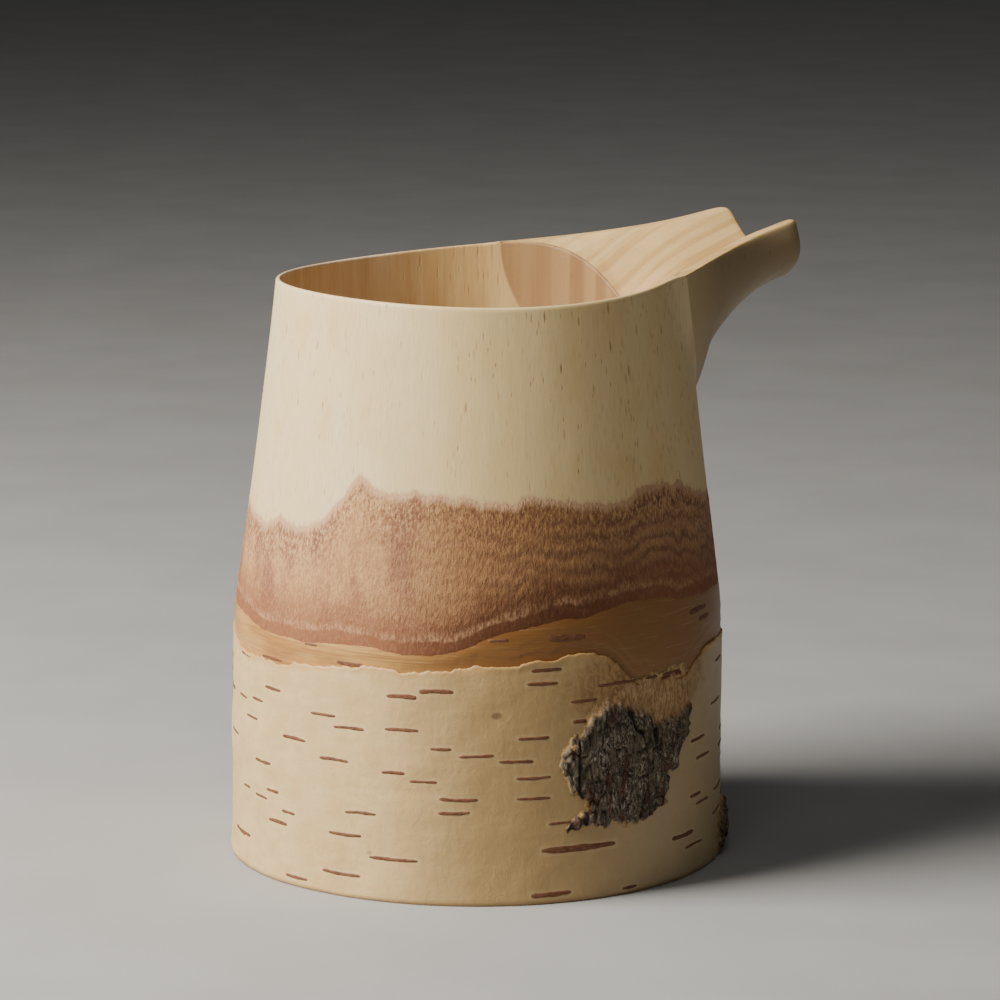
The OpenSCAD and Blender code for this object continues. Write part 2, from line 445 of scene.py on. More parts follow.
def build_spout():
    """The spout, let into the half-round notch: a grid of loops that fan out round the axis."""
    swing = np.linspace(-1, 1, 281)
    angles = np.radians(88.8) * (0.72 * swing + 0.28 * swing ** 3)
    outside, inside, top = joint_columns(angles)
    points = np.stack([spout_section(o, i, t) for o, i, t in zip(outside, inside, top)])
    rows = points.shape[1]
    row = np.arange(rows)[None, :]
    radius = np.hypot(points[..., 0], points[..., 1])
    carved = (row > 0) & (row < OUTER_ROWS + TOP_ROWS - 2)
    strength = np.where(carved, mix(0.25, 0.5, past_bore(radius)), 0)
    strength = strength * smooth(row, 0, 10)
    points = relax(points, strength, 24)
    place = points.copy()
    tool = 0.06 * noise(place, (16, 5, 5), 61) + 0.03 * noise(place, (9, 2.2, 2.2), 62)
    outward = points / np.maximum(radius, 1)[..., None]
    outward[..., 2] = 0
    points = points + outward * (tool * (strength > 0) * smooth(row, 0, 14))[..., None]
    spout = mesh_object("spout_wood", points, ring_faces(len(points), rows, False),
                        ["spout"])
    store(spout, "outside", np.broadcast_to(smooth(OUTER_ROWS - row, 0, 4), points.shape[:2]))
    return spout


BARK_COLUMNS = 900
INNER_BARK_ROWS = 80
CORK_ROWS = 40
WHITE_BARK_ROWS = 101


def bark_layer(name, outer_rows, inner_r):
    """A closed sleeve of bark: rows of outside points, then straight down its hidden inside.

    It replaces the CAD node of the same name.
    """
    theta = full_turn(BARK_COLUMNS)
    rows = outer_rows(theta)
    top = rows[-1][..., 2]
    radius = inner_r(theta)
    loops = rows + [around(theta, radius, top - 0.4), around(theta, radius, 0.0)]
    points = np.stack(loops, axis=1)
    return mesh_object(name, points, ring_faces(BARK_COLUMNS, len(loops), True), [name])


def angle_and_height(piece):
    """Angle and height in mm of each vertex."""
    points = np.zeros(len(piece.data.vertices) * 3)
    piece.data.vertices.foreach_get("co", points)
    points = points.reshape(-1, 3) / MM
    return np.arctan2(points[:, 1], points[:, 0]), points[:, 2]


def build_inner_bark():
    def rows(theta):
        low, high = cork_edge(theta), wood_edge(theta)
        behind_cork = log_radius(theta, low) - 1.8
        loops = [around(theta, behind_cork, z) for z in (0.0, low * 0.6, low - 2.4)]
        for share in np.linspace(0, 1, INNER_BARK_ROWS):
            z = mix(low - 1.2, high + 1.0, share)
            place = around(theta, INNER_BARK_R, z)
            grains = 0.06 * noise(place, (1.0, 1.0, 1.8), 71) + 0.04 * noise(place, (0.7, 0.7, 1.1), 72)
            waves = 0.10 * noise(place, (22, 22, 3.5), 73)
            fade = smooth(z, low, low + 4) * smooth(high - z, 0, 3)
            under_cork = SKIN * (1 - smooth(z, low - 1.2, low + 1.2))
            under_wood = SKIN * smooth(z, high - 1.2, high + 1.2)
            dip = SKIN / 2 - under_cork - under_wood
            loops.append(around(theta, log_radius(theta, z) + dip + (grains + waves) * fade, z))
        return loops

    piece = bark_layer("inner_bark", rows,
                       lambda theta: log_radius(theta, wood_edge(theta) + 1.0) - 0.5)
    theta, z = angle_and_height(piece)
    store(piece, "above_cork", z - cork_edge(theta))
    store(piece, "below_wood", wood_edge(theta) - z)
    return piece


# Heights above the white bark at which one more thin sheet of cork has been left on
SHEETS = [
    height_round_log([(0, 3), (120, 5), (240, 3.5)], 5, 81, [(1.5, 30), (0.5, 6), (0.15, 1.5)]),
    height_round_log([(0, 7), (120, 8), (240, 6)], 5, 86, [(2.0, 40), (0.6, 8), (0.15, 1.5)]),
]


def cork_radius(theta, z):
    """Outside of the cork: flush with the inner bark above, and worn down in thin sheets below."""
    low, high = white_edge(theta), cork_edge(theta)
    sheets = sum(smooth(z - low, sheet(theta) - 0.25, sheet(theta)) for sheet in SHEETS)
    worn = mix(0.5, 0.0, smooth(z, low, high - 1)) * (1 - 0.35 * sheets)
    waves = 0.05 * noise(around(theta, CORK_R, z), (14, 14, 2.5), 83) * smooth(high - z, 0, 2)
    under_inner_bark = SKIN * smooth(z, high - 1.2, high + 1.2)
    return log_radius(theta, z) + SKIN / 2 - worn - under_inner_bark + waves


def build_cork_layer():
    def rows(theta):
        low, high = white_edge(theta), cork_edge(theta)
        hidden = log_radius(theta, low) - 1.2
        loops = [around(theta, hidden, z) for z in (0.0, low * 0.8)]
        for share in np.linspace(0, 1, CORK_ROWS):
            z = mix(low - 2.0, high + 1.0, share)
            loops.append(around(theta, cork_radius(theta, z), z))
        return loops

    return bark_layer("cork_layer", rows,
                      lambda theta: log_radius(theta, cork_edge(theta) + 1.0) - 1.0)


FLAKE_ANGLE = math.radians(252)      # a flake of the white bark stands out at its edge here


def build_white_bark():
    def rows(theta):
        high = white_edge(theta)
        loops = []
        flake = np.exp(-(turn_from(FLAKE_ANGLE, theta) / math.radians(5)) ** 2)
        peel = 0.10 + 0.18 * noise(around(theta, BARK_R, 0.0), (9, 9, 9), 91) + 0.7 * flake
        for share in np.linspace(0, 1, WHITE_BARK_ROWS):
            z = mix(0.0, high, share ** 0.97)
            foot = 0.5 * (1 - smooth(z, 0.0, 1.1))
            curl = peel * smooth(z, high - 2.2, high)
            loops.append(around(theta, bark_radius(theta, z) - foot + curl, z))
        edge_r = bark_radius(theta, high) + peel
        loops.append(around(theta, edge_r - 0.2, high + 0.10))
        loops.append(around(theta, edge_r - 0.5, high - 0.05))
        return loops

    piece = bark_layer("white_bark", rows,
                       lambda theta: log_radius(theta, 30.0) - 1.6)
    theta, z = angle_and_height(piece)
    store(piece, "below_peel", white_edge(theta) - z)
    store(piece, "near_lenticel", nearness_to_lenticels(theta, z))
    return piece


# Lenticels that stand out on the bark: angle, height, length and width
LENTICELS = [
    (169, 65, 9, 0.9), (183, 58, 9, 1.1), (167, 52, 8, 0.9), (176, 53, 8, 0.9), (173, 47, 9, 0.9),
    (160, 39, 11, 0.9), (200, 54, 10, 1.0), (207, 51, 11, 1.1), (191, 45, 11, 1.2), (220, 52, 11, 1.1),
    (220, 62, 10, 1.5), (228, 64, 11, 1.5), (229, 47, 7, 1.1), (237, 45, 11, 1.0), (246, 43, 11, 1.1),
    (179, 35, 10, 1.1), (203, 41, 11, 1.2), (218, 39, 8, 1.1), (225, 37, 9, 0.9), (233, 32, 12, 1.2),
    (232, 28, 10, 1.1), (250, 38, 11, 1.1), (250, 32, 11, 1.0), (250, 50, 10, 1.1), (252, 66, 10, 1.3),
    (253, 70, 10, 1.1), (262, 60, 9, 1.2), (261, 54, 5, 1.2), (288, 64, 9, 1.1),
    (170, 25, 6, 0.9), (178, 24, 8, 1.0), (183, 27, 7, 1.1), (189, 22, 7, 1.1), (185, 18, 10, 1.3),
    (210, 26, 11, 1.1), (206, 19, 12, 1.2), (218, 13, 16, 1.2), (205, 7, 14, 1.2), (192, 3, 10, 1.2),
    (167, 10, 15, 1.3), (261, 16, 25, 2.0), (257, 24, 10, 1.0), (300, 41, 11, 1.2), (303, 35, 11, 1.2),
    (299, 24, 8, 1.2), (303, 21, 11, 1.0), (293, 13, 13, 1.5), (298, 9, 12, 1.0), (254, 3, 13, 1.5),
    (274, 2, 6, 1.0), (271, 64, 15, 1.1), (281, 64, 5, 1.0), (288, 63, 11, 1.2),
]
# Flatter ones in the brown cork band
CORK_LENTICELS = [(182, 67, 12, 1.1), (207, 70, 10, 1.5), (196, 74, 6, 0.8), (230, 77, 4, 1.2),
                  (258, 79, 13, 2.3), (242, 79, 7, 1.2), (301, 80, 13, 1.8), (304, 77, 9, 1.6)]
BACK_ANGLES = (312, 515)          # the part of the log where lenticels are scattered at random
SCATTERED = 95


def scattered_lenticels():
    rng = np.random.default_rng(7)
    found = []
    while len(found) < SCATTERED:
        angle = rng.uniform(*BACK_ANGLES)
        height = rng.uniform(3, 64)
        length = rng.uniform(6, 14)
        clear = all(abs(angle - a) * 1.3 > (length + l) / 2 + 1 or abs(height - h) > 2.6
                    for a, h, l, _ in found)
        if clear:
            found.append((angle, height, length, rng.uniform(0.9, 1.5)))
    return found


ALL_LENTICELS = LENTICELS + scattered_lenticels()


def nearness_to_lenticels(theta, z):
    """1 next to a lenticel, falling to 0 about a millimetre away from it."""
    nearest = np.full(theta.shape, 9.0)
    for angle, height, length, width in ALL_LENTICELS:
        turn = turn_from(math.radians(angle), theta)
        aside = np.maximum(np.abs(turn) * BARK_R - length / 2, 0)
        up = np.maximum(np.abs(z - height) - width / 2, 0)
        nearest = np.minimum(nearest, np.hypot(aside, up))
    return np.clip(1 - nearest / 1.3, 0, 1)


def lenticel_mesh(angle, height, length, width, proud, radius_at, seed):
    """One closed lens-shaped pad on the bark, with ragged outline and a shallow slit."""
    u = np.linspace(-1, 1, max(10, int(length * 1.6)))[:, None]
    v = np.linspace(-1, 1, 7)[None, :]
    ends = (1 - np.abs(u) ** 7) ** 0.5
    spread = np.stack([u * length / 2, 0 * u, 0 * u + seed * 3.7], axis=-1)
    ragged = 1 + 0.22 * noise(spread, (1.8, 1, 1), seed)
    droop = 0.22 * noise(spread, (6, 1, 1), seed + 1)
    z = height + v * width / 2 * ends * ragged + droop
    theta = math.radians(angle) + u * length / 2 / BARK_R + 0 * v
    dome = (1 - v ** 2) ** 0.5 * ends
    slit = 0.35 * np.exp(-(v / 0.3) ** 2) * (1 - u ** 2)
    grain = 0.05 * noise(around(theta, BARK_R, z), (0.9, 0.9, 0.5), 97)
    front = around(theta, radius_at(theta, z) - 0.08 + proud * (dome - slit * 0.6) + grain * dome, z)
    back = around(theta, radius_at(theta, z) - 0.45, z)
    return front, back


def slab(front, back, keep):
    """A closed slab between two grids of points, over the kept part of the grid.

    Returns its points, its faces, and which of the front and back points it uses.
    """
    columns, rows = keep.shape
    count = columns * rows
    number = np.arange(count).reshape(columns, rows)
    used = keep[:-1, :-1] & keep[1:, :-1] & keep[1:, 1:] & keep[:-1, 1:]
    quads = np.stack([number[:-1, :-1], number[1:, :-1], number[1:, 1:], number[:-1, 1:]], axis=-1)[used]
    border = {}
    for quad in quads.tolist():
        for start, end in zip(quad, quad[1:] + quad[:1]):
            if border.pop((end, start), None) is None:
                border[start, end] = True
    faces = quads.tolist() + (quads[:, ::-1] + count).tolist()
    faces += [[end, start, start + count, end + count] for start, end in border]
    kept = np.unique(np.concatenate([np.ravel(face) for face in faces]))
    renumber = np.full(2 * count, -1)
    renumber[kept] = np.arange(len(kept))
    points = np.concatenate([front.reshape(-1, 3), back.reshape(-1, 3)])[kept]
    return points, [renumber[face].tolist() for face in faces], kept


def build_lenticels():
    points, faces = [], []
    total = 0
    seed = 100
    for group, proud, surface in ((ALL_LENTICELS, 0.28, bark_radius), (CORK_LENTICELS, 0.20, cork_radius)):
        for angle, height, length, width in group:
            front, back = lenticel_mesh(angle, height, length, width, proud, surface, seed)
            pad, pad_faces, _ = slab(front, back, np.full(front.shape[:2], True))
            points.append(pad)
            faces += [[total + corner for corner in face] for face in pad_faces]
            total += len(pad)
            seed += 3
    return mesh_object("lenticels", np.concatenate(points), faces)


# Outlines of the rough patches: millimetres sideways from their middle, and height
FRONT_PATCH_ANGLE = math.radians(-85)
FRONT_PATCH = [(-10, 63), (-12, 58), (-15, 55), (-17, 51), (-20, 50), (-23, 46), (-25, 41), (-24, 36),
               (-21, 32), (-18, 30), (-17, 27), (-24, 23), (-22, 21), (-14, 22), (-6, 21), (9, 21),
               (14, 25), (15, 32), (19, 36), (22, 41), (25, 46), (28, 53), (28, 59), (24, 64), (12, 65),
               (-1, 64)]
FRONT_GOLD = [(-15, 58), (-2, 57), (9, 50), (20, 49), (28, 54)]      # golden fuzz above this line
SIDE_PATCH_ANGLE = math.radians(-36)
SIDE_PATCH = [(-17, 0), (-15, 9), (-7, 17), (4, 19), (13, 13), (18, 0)]
SIDE_GOLD = [(-20, 40), (20, 40)]


def inside_outline(x, y, outline):
    """Distance in from a closed outline, in mm, and negative outside it."""
    nearest = np.full(x.shape, 1e9)
    crossings = np.zeros(x.shape, int)
    for (ax, ay), (bx, by) in zip(outline, outline[1:] + outline[:1]):
        length = (bx - ax) ** 2 + (by - ay) ** 2
        t = np.clip(((x - ax) * (bx - ax) + (y - ay) * (by - ay)) / length, 0, 1)
        nearest = np.minimum(nearest, np.hypot(x - ax - t * (bx - ax), y - ay - t * (by - ay)))
        if ay != by:
            spans = (ay > y) != (by > y)
            crossings += spans & (x < ax + (y - ay) * (bx - ax) / (by - ay))
    return np.where(crossings % 2 == 1, nearest, -nearest)


def rough_patch(name, middle, outline, gold_line, height, margin):
    """A fissured slab of corky bark that rises out of the white bark inside an outline."""
    step = 0.4
    sides = np.array(outline)
    s = np.arange(sides[:, 0].min() - 3, sides[:, 0].max() + 3, step)[:, None]
    z = np.arange(max(0.3, sides[:, 1].min() - 3), sides[:, 1].max() + 3, step)[None, :]
    s, z = np.broadcast_arrays(s, z)
    theta = middle + s / BARK_R
    place = around(theta, BARK_R, z)
    wobble = 1.3 * noise(place, (4, 4, 5), 111) + 0.9 * noise(place, (1.6, 1.6, 1.8), 112)
    depth_in = inside_outline(s, z, outline) + wobble
    bent = place + 2.5 * noise(place, (9, 9, 12), 113)[..., None]
    wide = np.abs(noise(bent, (5.0, 5.0, 34), 114))
    narrow = np.abs(noise(bent, (2.2, 2.2, 8), 118))
    fissures = (1 - np.exp(-(wide / 0.07) ** 2)) * (1 - 0.6 * np.exp(-(narrow / 0.12) ** 2))
    crust = noise(place, (1.3, 1.3, 2.6), 115)
    crumbs = noise(place, (0.8, 0.8, 1.1), 116)
    line = np.interp(s, *zip(*gold_line)) + 2.2 * noise(place, (5, 5, 5), 117) + 1.2 * crust
    gold = smooth(z, line - 0.5, line + 2.5)
    rise = smooth(depth_in, 0, mix(margin, 5.0, gold))
    plates = height * (0.30 + 0.70 * fissures) + 0.45 * crust + 0.30 * crumbs
    fuzz = 0.45 + 0.22 * crust + 0.16 * crumbs
    relief = rise * mix(plates, fuzz, gold)
    base = log_radius(theta, z)
    front = around(theta, base - 0.2 + relief, z)
    back = around(theta, base - 1.0, z)
    points, faces, kept = slab(front, back, depth_in > -1.2)
    piece = mesh_object(name, points, faces, [name])
    crumbled = smooth(depth_in + crust, 0.2, margin)
    for label, values in (("gold", gold), ("fissure", fissures), ("crumbled", crumbled), ("crust", crust)):
        store(piece, label, np.concatenate([values.ravel(), values.ravel()])[kept])
    return piece


def build_bottom():
    """The bottom disc, flush with the base, with gently uneven faces and a bevelled edge."""
    columns = 180
    theta = full_turn(columns)
    radii = np.linspace(2, BORE_R - 1.0, 40)
    loops = []
    for radius in radii:
        place = around(theta, radius, 0.0)
        loops.append(around(theta, radius, 0.35 + 0.12 * noise(place, (14, 14, 9), 121)))
    loops += [around(theta, BORE_R - 0.25, z) for z in (1.0, BOTTOM_TOP - 1.2)]
    for radius in radii[::-1]:
        place = around(theta, radius, 50.0)
        loops.append(around(theta, radius, BOTTOM_TOP - 0.15 + 0.15 * noise(place, (12, 12, 9), 122)))
    points = np.stack(loops, axis=1)
    rows = len(loops)
    # every ring_faces quad but the ones that would join the last row to the first through the middle
    faces = [face for k, face in enumerate(ring_faces(columns, rows, True)) if k % rows != rows - 1]
    faces.append([c * rows for c in range(columns - 1, -1, -1)])
    faces.append([c * rows + rows - 1 for c in range(columns)])
    return mesh_object("bottom_disc", points, faces, ["bottom_disc"])


# ---------------- materials


class Surface:
    """A Principled material with short calls for the nodes that feed it.

    Noise sizes and bump depths are in mm, and x, y and z are the place on the object in metres.
    """

    def __init__(self, name, roughness, specular=0.4):
        self.material = bpy.data.materials.new(name)
        self.material.use_nodes = True
        self.tree = self.material.node_tree
        self.shader = self.tree.nodes["Principled BSDF"]
        self.shader.inputs["Roughness"].default_value = roughness
        self.shader.inputs["Specular IOR Level"].default_value = specular
        self.place = self.node("TexCoord", {}).outputs["Object"]
        self.x, self.y, self.z = self.node("SeparateXYZ", {0: self.place}).outputs
        self.colour = None

    def put(self, socket, value):
        if isinstance(value, bpy.types.NodeSocket):
            self.tree.links.new(value, socket)
        else:
            socket.default_value = value

    def node(self, kind, inputs, **settings):
        """A new node with its settings, and with its inputs fed by name or number."""
        node = self.tree.nodes.new("ShaderNode" + kind)
        for key, value in settings.items():
            setattr(node, key, value)
        for socket, value in inputs.items():
            self.put(node.inputs[socket], value)
        return node

    def maths(self, operation, a, b=0.0):
        return self.node("Math", {0: a, 1: b}, operation=operation).outputs[0]

    def times(self, a, b):
        return self.maths("MULTIPLY", a, b)

    def plus(self, a, b):
        return self.maths("ADD", a, b)

    def minus(self, a, b):
        return self.maths("SUBTRACT", a, b)

    def vector(self, operation, a, b):
        return self.node("VectorMath", {0: a, 1: b}, operation=operation).outputs["Vector"]

    def length(self, vector):
        return self.node("VectorMath", {0: vector}, operation="LENGTH").outputs["Value"]

    def sized(self, size):
        """The place on the object counted in features of this size."""
        return self.vector("MULTIPLY", self.place, tuple(1 / (length * MM) for length in size))

    def noise(self, size, detail=2.0, rough=0.5, twist=0.0):
        inputs = {"Vector": self.sized(size), "Scale": 1.0, "Detail": detail, "Roughness": rough,
                  "Distortion": twist}
        return self.node("TexNoise", inputs).outputs["Fac"]

    def ramp(self, value, low, high, start=0.0, end=1.0):
        """start up to low, end from high on, and an S-curve between."""
        inputs = {0: value, 1: low, 2: high, 3: start, 4: end}
        return self.node("MapRange", inputs, interpolation_type="SMOOTHSTEP").outputs[0]

    def mix(self, share, a, b):
        a, b = [(*colour, 1.0) if isinstance(colour, tuple) else colour for colour in (a, b)]
        return self.node("Mix", {0: share, 6: a, 7: b}, data_type="RGBA").outputs[2]

    def paint(self, share, colour):
        """Lays a share of a colour over what is there."""
        self.colour = self.mix(share, self.colour, colour)

    def stored(self, name):
        return self.node("Attribute", {}, attribute_name=name).outputs["Fac"]

    def bump(self, height, depth, strength=1.0, below=None):
        """Raises the surface by up to depth mm where height is 1."""
        inputs = {"Strength": strength, "Distance": depth * MM, "Height": height}
        if below is not None:
            inputs["Normal"] = below
        return self.node("Bump", inputs).outputs[0]

    def finish(self, normal=None, roughness=None):
        for socket, value in (("Base Color", self.colour), ("Normal", normal), ("Roughness", roughness)):
            if value is not None:
                self.put(self.shader.inputs[socket], value)
        return self.material


def flecks(surface, size, shift, share, where=None):
    """Short dark dashes: the middles of stretched cells, in only a share of the cells."""
    moved = surface.vector("ADD", surface.sized(size), (shift, shift * 0.7, shift * 0.3))
    cells = surface.node("TexVoronoi", {"Vector": moved, "Scale": 1.0})
    mark = surface.ramp(cells.outputs["Distance"], 0.1, 0.36, 1.0, 0.0)
    first, second, _ = surface.node("SeparateColor", {0: cells.outputs["Color"]}).outputs
    level = share if where is None else surface.times(where, share)
    chosen = surface.maths("LESS_THAN", first, level)
    darkness = surface.ramp(second, 0.0, 1.0, 0.3, 1.0)
    return surface.times(surface.times(mark, chosen), darkness)


# A brown stain hides the edge of the white bark round the top of the front rough patch, in metres
STAIN_PLACE = (0.014, -0.074, 0.063)
STAIN_SCALE = (1 / 0.023, 1 / 0.023, 1 / 0.011)

FRINGE = (0.56, 0.35, 0.2)      # the soft border between the wood and the inner bark


def across_front(surface):
    """How far a point lies to the right, in metres, seen from the front left."""
    return surface.minus(surface.x, surface.times(surface.y, 0.6))


def towards_shaded_side(surface, lowest):
    """Rises from lowest to 1 round the log, from behind the vessel to the front of the spout: towards the
    side in shade, which the materials darken with painted shade.
    """
    return surface.ramp(across_front(surface), -0.045, 0.035, lowest, 1.0)


def mid_front_shade(surface):
    """1 along the middle of the front, where painted shade darkens the wood and bark, and 0 to either side.
    """
    across = across_front(surface)
    left = surface.ramp(across, -0.045, 0.0)
    right = surface.ramp(across, 0.02, 0.07, 1.0, 0.0)
    return surface.times(left, right)


def from_axis(surface):
    return surface.length(surface.vector("MULTIPLY", surface.place, (1, 1, 0)))


def wall_material():
    s = Surface("cut_birch", 0.5)
    broad = s.noise((26, 26, 60), 3)
    fine = s.noise((0.6, 0.6, 14), 3, 0.6)
    cloudy = s.noise((13, 13, 22), 4, 0.6)
    s.colour = s.mix(s.ramp(broad, 0.35, 0.7), (0.76, 0.6, 0.335), (0.71, 0.525, 0.26))
    s.paint(s.ramp(cloudy, 0.48, 0.78, 0.0, 0.6), (0.64, 0.425, 0.16))
    s.paint(s.ramp(fine, 0.42, 0.8, 0.0, 0.4), (0.54, 0.35, 0.15))
    # painted shade: darker along the middle of the front
    s.paint(s.times(mid_front_shade(s), 0.45), (0.66, 0.49, 0.21))
    # short brown flecks, in clusters and denser under the rim towards the spout
    clusters = s.ramp(s.noise((14, 14, 22), 2), 0.4, 0.62, 0.25, 1.0)
    towards = s.ramp(s.plus(s.x, s.times(s.z, 0.5)), 0.045, 0.105, 0.25, 1.0)
    where = s.times(clusters, towards)
    long_ones = flecks(s, (1.3, 1.3, 8.0), 3.0, 0.4, where)
    short_ones = flecks(s, (0.9, 0.9, 3.6), 17.0, 0.36, where)
    faint_ones = flecks(s, (0.8, 0.8, 9.0), 29.0, 0.2)
    marks = s.maths("MAXIMUM", long_ones, s.times(short_ones, 0.85))
    radius = from_axis(s)
    in_bore = s.ramp(radius, (BORE_R + 0.35) * MM, (BORE_R + 0.8) * MM, 1.0, 0.0)
    s.paint(s.times(faint_ones, 0.6), (0.46, 0.24, 0.07))
    s.paint(s.times(marks, 0.8), (0.3, 0.15, 0.055))
    # the bore is warmer and streakier; painted light makes it brighter away from the spout, where it lies
    # in shadow, and it is darker towards the spout
    streaks = s.ramp(s.noise((9, 9, 90), 4, 0.6), 0.36, 0.66)
    bore_painted_light = s.mix(streaks, (0.82, 0.65, 0.44), (0.7, 0.5, 0.29))
    pale = s.mix(streaks, (0.64, 0.45, 0.2), (0.54, 0.34, 0.13))
    inside = s.mix(s.ramp(s.x, -0.02, 0.03), bore_painted_light, pale)
    inside = s.mix(s.ramp(fine, 0.45, 0.85, 0.0, 0.3), inside, (0.44, 0.25, 0.1))
    inside = s.mix(s.times(long_ones, 0.4), inside, (0.25, 0.12, 0.05))
    dark_lines = s.ramp(s.noise((2.0, 2.0, 34), 2), 0.7, 0.8, 0.0, 0.5)
    inside = s.mix(dark_lines, inside, (0.33, 0.15, 0.06))
    s.paint(in_bore, inside)
    edge = s.stored("above_bark")
    soft = s.plus(edge, s.times(s.noise((0.8, 0.8, 2.6), 2), -2.4))
    blush = s.times(s.ramp(soft, -1.4, 0.6, 0.85, 0.0), s.minus(1.0, in_bore))
    s.paint(blush, FRINGE)
    # annual rings on the sawn base
    rings = s.ramp(s.maths("SINE", s.times(radius, 4200.0)), -1.0, 1.0, 0.0, 0.35)
    on_base = s.ramp(s.z, 0.0001, 0.0004, 1.0, 0.0)
    s.paint(s.times(rings, on_base), (0.4, 0.26, 0.13))
    normal = s.bump(fine, 0.08, 0.5)
    normal = s.bump(marks, -0.1, 0.7, normal)
    return s.finish(normal, s.ramp(broad, 0.2, 0.8, 0.44, 0.56))


def spout_material():
    s = Surface("spout_birch", 0.48)
    broad = s.noise((60, 12, 12), 3)
    fine = s.noise((16, 0.6, 0.6), 3, 0.6)
    s.colour = s.mix(s.ramp(broad, 0.35, 0.7), (0.69, 0.485, 0.22), (0.59, 0.385, 0.155))
    s.paint(s.ramp(fine, 0.45, 0.85, 0.0, 0.35), (0.5, 0.32, 0.16))
    specks = flecks(s, (5.0, 1.6, 1.6), 5.0, 0.07)
    s.paint(s.times(specks, 0.55), (0.26, 0.13, 0.06))
    golden = s.ramp(s.noise((120, 2.4, 40), 3, 0.5), 0.4, 0.66, 0.0, 0.7)
    s.paint(golden, (0.46, 0.275, 0.088))
    # painted shade: a darker band along the middle of the channel's valley
    valley_shade = s.ramp(s.maths("ABSOLUTE", s.y), 0.001, 0.01, 0.8, 0.0)
    s.paint(valley_shade, (0.4, 0.24, 0.082))
    # outside it matches the wall next to the joint, and painted shade darkens it towards the tip
    outside = s.stored("outside")
    s.paint(s.times(outside, 0.7), (0.62, 0.47, 0.24))
    tip_shade = s.ramp(s.x, 0.04, 0.066, 0.2, 0.82)
    s.paint(s.times(outside, tip_shade), (0.29, 0.205, 0.118))
    dashes = flecks(s, (1.3, 1.3, 6.0), 23.0, 0.16)
    s.paint(s.times(s.times(dashes, outside), 0.7), (0.22, 0.12, 0.05))
    # end grain shows on the bore side
    end_grain = s.ramp(from_axis(s), (BORE_R + 0.25) * MM, (BORE_R + 0.7) * MM, 1.0, 0.0)
    bands = s.ramp(s.noise((200, 4.2, 160), 2, 0.55), 0.34, 0.68)
    pores = s.noise((200, 0.5, 1.4), 2, 0.6)
    reddish = s.mix(bands, (0.36, 0.215, 0.09), (0.265, 0.145, 0.056))
    reddish = s.mix(s.ramp(pores, 0.4, 0.8, 0.0, 0.3), reddish, (0.3, 0.16, 0.07))
    dots = flecks(s, (60, 3.0, 3.4), 9.0, 0.22)
    reddish = s.mix(s.times(dots, 0.8), reddish, (0.15, 0.07, 0.03))
    s.paint(end_grain, reddish)
    # the joint line: a thin paler edge where the billet meets the wall
    across = s.minus(s.z, JOINT_Z * MM)
    reach = s.maths("SQRT", s.plus(s.times(s.y, s.y), s.times(across, across)))
    seam = s.ramp(reach, (JOINT_R - 0.5) * MM, (JOINT_R - 0.1) * MM, 0.0, 0.25)
    s.paint(seam, (0.62, 0.45, 0.26))
    normal = s.bump(fine, 0.07, 0.5)
    normal = s.bump(s.times(dots, end_grain), -0.12, 0.8, normal)
    return s.finish(normal, s.ramp(broad, 0.2, 0.8, 0.42, 0.54))


def bottom_material():
    s = Surface("bottom_birch", 0.62)
    grain = s.noise((30, 1.2, 8), 3, 0.6)
    broad = s.noise((70, 9, 9), 2)
    s.colour = s.mix(s.ramp(broad, 0.35, 0.7), (0.66, 0.49, 0.27), (0.56, 0.38, 0.19))
    s.paint(s.ramp(grain, 0.4, 0.75, 0.0, 0.6), (0.38, 0.24, 0.12))
    return s.finish(s.bump(grain, 0.15, 0.7))


